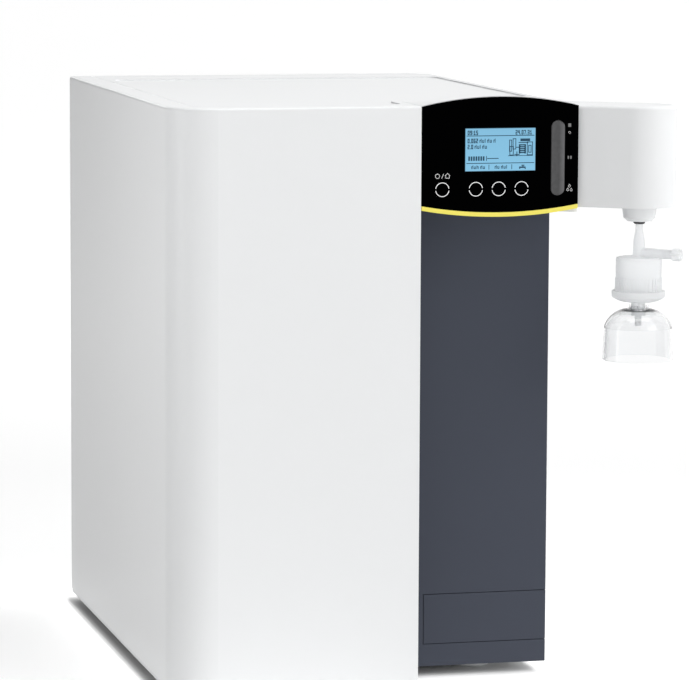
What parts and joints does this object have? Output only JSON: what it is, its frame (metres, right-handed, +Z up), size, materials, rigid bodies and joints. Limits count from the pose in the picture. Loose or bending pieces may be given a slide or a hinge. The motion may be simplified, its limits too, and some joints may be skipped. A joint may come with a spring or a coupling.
{
  "type": "ultrapure water system",
  "caption": "Bench cabinet with a wrap-around service door, an arched display head with keys and a rocker, and a swivel arm that carries a filter capsule and a bell.",
  "frame": {"origin": "on the bench under the middle of the cabinet's 350 by 500 mm footprint", "axes": "+Z up, the display faces -Y, +X to the right seen from the front"},
  "size_m": [0.4394, 0.5478, 0.5128],
  "materials": {
    "aluminium": "satin",
    "black_glass": "gloss",
    "blue_plastic": "satin",
    "board": "satin",
    "brass": "satin",
    "capsule_plastic": "satin",
    "clear": "gloss",
    "dark_plastic": "matte",
    "grey_plastic": "satin",
    "hose": "satin",
    "pale_rubber": "matte",
    "rubber": "matte",
    "screen": "gloss",
    "sheet_steel": "satin",
    "slate_panel": "satin",
    "steel": "brushed",
    "white_cover": "gloss",
    "white_metal": "satin",
    "white_plastic": "satin",
    "yellow": "gloss"
  },
  "bodies": {
    "cabinet": {"base_tray": "white_metal", "feet": "pale_rubber", "foot_screws": "steel", "hinge_bracket": "steel", "door_hinge_pins": "steel", "door_magnets": "dark_plastic", "top_panel": "white_cover", "right_panel": "white_metal", "rear_panel": "white_metal", "rear_screws": "steel", "column_panel": "slate_panel", "lower_cover": "slate_panel", "head_housing": "white_cover", "display_glass": "black_glass", "yellow_trim": "yellow", "arm_socket": "white_cover", "lcd_module": "screen", "control_board": "board", "rocker_bracket": "dark_plastic", "swivel_spindle": "steel", "swivel_washer": "white_plastic", "swivel_ring": "steel", "wet_bulkhead": "sheet_steel", "cross_bulkhead": "sheet_steel", "cartridge_shelf": "sheet_steel", "pretreatment_cartridge": "white_plastic", "polishing_cartridge": "white_plastic", "cartridge_heads": "grey_plastic", "cartridge_clips": "grey_plastic", "pump_motor": "dark_plastic", "pump_head": "grey_plastic", "lamp_housing": "steel", "ultrafilter": "capsule_plastic", "module_clamps": "grey_plastic", "valve_manifold": "white_plastic", "solenoid_valves": "dark_plastic", "conductivity_cells": "blue_plastic", "power_supply": "aluminium", "main_board": "board", "mains_inlet": "dark_plastic", "mains_pins": "brass", "hose_spigots": "white_plastic", "inner_hoses": "hose"},
    "door": {"service_door": "white_cover", "door_strikes": "steel"},
    "arm": {"arm_shell": "white_cover", "arm_base": "white_cover", "nozzle": "white_plastic", "nozzle_seal": "rubber", "arm_hose": "hose", "filter_top": "capsule_plastic", "filter_bottom": "capsule_plastic", "bell_guard": "clear"},
    "vent_cap": {"vent_knob": "capsule_plastic"},
    "key_home_body": {"key_home": "dark_plastic"},
    "key_left_body": {"key_left": "dark_plastic"},
    "key_middle_body": {"key_middle": "dark_plastic"},
    "key_right_body": {"key_right": "dark_plastic"},
    "rocker": {"dispense_rocker": "grey_plastic"},
    "switch": {"mains_switch": "dark_plastic"}
  },
  "joints": [
    {"name": "door_hinge", "type": "hinge", "parent": "cabinet", "child": "door", "pos_m": [-0.1685, 0.246, 0], "axis": [0, 0, -1], "range_deg": [0, 95]},
    {"name": "arm_swivel", "type": "hinge", "parent": "cabinet", "child": "arm", "pos_m": [0.144, -0.19, 0.4175], "axis": [0, 0, 1], "range_deg": [0, 32]},
    {"name": "vent_turn", "type": "hinge", "parent": "arm", "child": "vent_cap", "pos_m": [0.23177, -0.24485, 0.37705], "axis": [0.766, -0.6428, 0], "range_deg": [0, 180]},
    {"name": "key_home_press", "type": "slide", "parent": "cabinet", "child": "key_home_body", "axis": [0, 1, 0], "range_m": [0, 0.0008], "stiffness_N_per_m": 1500},
    {"name": "key_left_press", "type": "slide", "parent": "cabinet", "child": "key_left_body", "axis": [0, 1, 0], "range_m": [0, 0.0008], "stiffness_N_per_m": 1500},
    {"name": "key_middle_press", "type": "slide", "parent": "cabinet", "child": "key_middle_body", "axis": [0, 1, 0], "range_m": [0, 0.0008], "stiffness_N_per_m": 1500},
    {"name": "key_right_press", "type": "slide", "parent": "cabinet", "child": "key_right_body", "axis": [0, 1, 0], "range_m": [0, 0.0008], "stiffness_N_per_m": 1500},
    {"name": "rocker_tilt", "type": "hinge", "parent": "cabinet", "child": "rocker", "pos_m": [0.15705, -0.2456, 0.4599], "axis": [1, 0, 0], "range_deg": [-3, 3], "stiffness_Nm_per_rad": 0.6},
    {"name": "switch_tilt", "type": "hinge", "parent": "cabinet", "child": "switch", "pos_m": [0.095, 0.249, 0.104], "axis": [1, 0, 0], "range_deg": [0, 8]}
  ]
}
